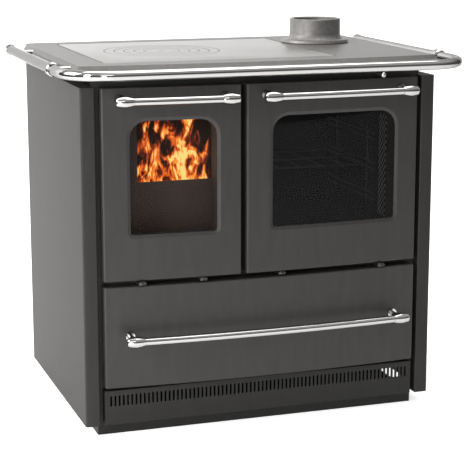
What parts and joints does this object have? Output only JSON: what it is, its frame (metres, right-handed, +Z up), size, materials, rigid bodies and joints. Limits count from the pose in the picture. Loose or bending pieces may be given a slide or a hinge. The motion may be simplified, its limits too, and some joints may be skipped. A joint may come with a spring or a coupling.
{
  "type": "wood cookstove",
  "caption": "Free-standing wood-burning cookstove with a glazed fire door, a glazed oven door, a wood drawer, a steel hob with lift-off rings, a flue collar and a chromed towel rail",
  "frame": {"origin": "middle of the footprint of the bounding box, on the floor", "axes": "+X is the viewer's right when facing the doors, +Y points from the doors to the back, +Z is up"},
  "size_m": [0.98, 0.728, 0.921],
  "materials": {
    "side_paint": "satin",
    "panel_paint": "satin",
    "black_paint": "matte heat-proof",
    "hob_paint": "satin heat-proof",
    "hob_steel": "ground",
    "chrome": "polished",
    "zinc": "zinc plated",
    "glass": "tinted heat-proof",
    "refractory": "fired",
    "cast_iron": "sooty",
    "rope": "braided"
  },
  "bodies": {
    "body": {"ash_pan": "zinc", "back_panel": "black_paint", "base_tray": "panel_paint", "body_shell": "black_paint", "drawer_runner_left": "zinc", "drawer_runner_right": "zinc", "fire_grate": "cast_iron", "fire_hinge_left": "zinc", "fire_hinge_right": "zinc", "firebox_gasket": "rope", "firebrick_left": "refractory", "firebrick_rear": "refractory", "firebrick_right": "refractory", "flue_collar": "cast_iron", "front_frame": "black_paint", "hob_frame": "hob_paint", "hob_plate": "hob_steel", "log_guard": "cast_iron", "oven_box": "black_paint", "oven_gasket": "rope", "oven_hinge_left": "zinc", "oven_hinge_right": "zinc", "oven_ladder_left": "chrome", "oven_ladder_right": "chrome", "oven_rack": "chrome", "oven_side_strip": "zinc", "rail_collar_left": "chrome", "rail_collar_right": "chrome", "rail_front": "chrome", "rail_post_left": "chrome", "rail_post_right": "chrome", "rail_side_left": "chrome", "rail_side_right": "chrome", "side_panel_left": "side_paint", "side_panel_right": "side_paint", "vent_bracket": "zinc", "vent_panel": "panel_paint"},
    "fire_door": {"fire_door_glass": "glass", "fire_door_liner": "black_paint", "fire_door_panel": "panel_paint", "fire_handle_bar": "chrome", "fire_handle_end_left": "chrome", "fire_handle_end_right": "chrome"},
    "oven_door": {"oven_door_glass": "glass", "oven_door_liner": "black_paint", "oven_door_panel": "panel_paint", "oven_handle_bar": "chrome", "oven_handle_end_left": "chrome", "oven_handle_end_right": "chrome"},
    "drawer": {"drawer_box": "zinc", "drawer_front": "panel_paint", "drawer_handle_bar": "chrome", "drawer_handle_end_left": "chrome", "drawer_handle_end_right": "chrome"},
    "outer_ring": {"hob_ring_outer": "hob_steel"},
    "inner_ring": {"hob_ring_inner": "hob_steel"},
    "lid": {"hob_lid": "hob_steel"},
    "damper": {"damper_knob": "chrome", "damper_rod": "zinc", "damper_plate": "cast_iron"}
  },
  "joints": [
    {"name": "fire_door_hinge", "type": "hinge", "parent": "body", "child": "fire_door", "pos_m": [-0.223, -0.2635, 0.3645], "axis": [1, 0, 0], "range_deg": [0, 90]},
    {"name": "oven_door_hinge", "type": "hinge", "parent": "body", "child": "oven_door", "pos_m": [0.16775, -0.2635, 0.3645], "axis": [1, 0, 0], "range_deg": [0, 90]},
    {"name": "drawer_slide", "type": "slide", "parent": "body", "child": "drawer", "axis": [0, -1, 0], "range_m": [0, 0.35]},
    {"name": "damper_slide", "type": "slide", "parent": "body", "child": "damper", "axis": [0, -1, 0], "range_m": [0, 0.06]},
    {"name": "outer_ring_lift", "type": "slide", "parent": "body", "child": "outer_ring", "axis": [0, 0, 1], "range_m": [0, 0.12]},
    {"name": "inner_ring_lift", "type": "slide", "parent": "outer_ring", "child": "inner_ring", "axis": [0, 0, 1], "range_m": [0, 0.12]},
    {"name": "lid_lift", "type": "slide", "parent": "inner_ring", "child": "lid", "axis": [0, 0, 1], "range_m": [0, 0.12]}
  ]
}
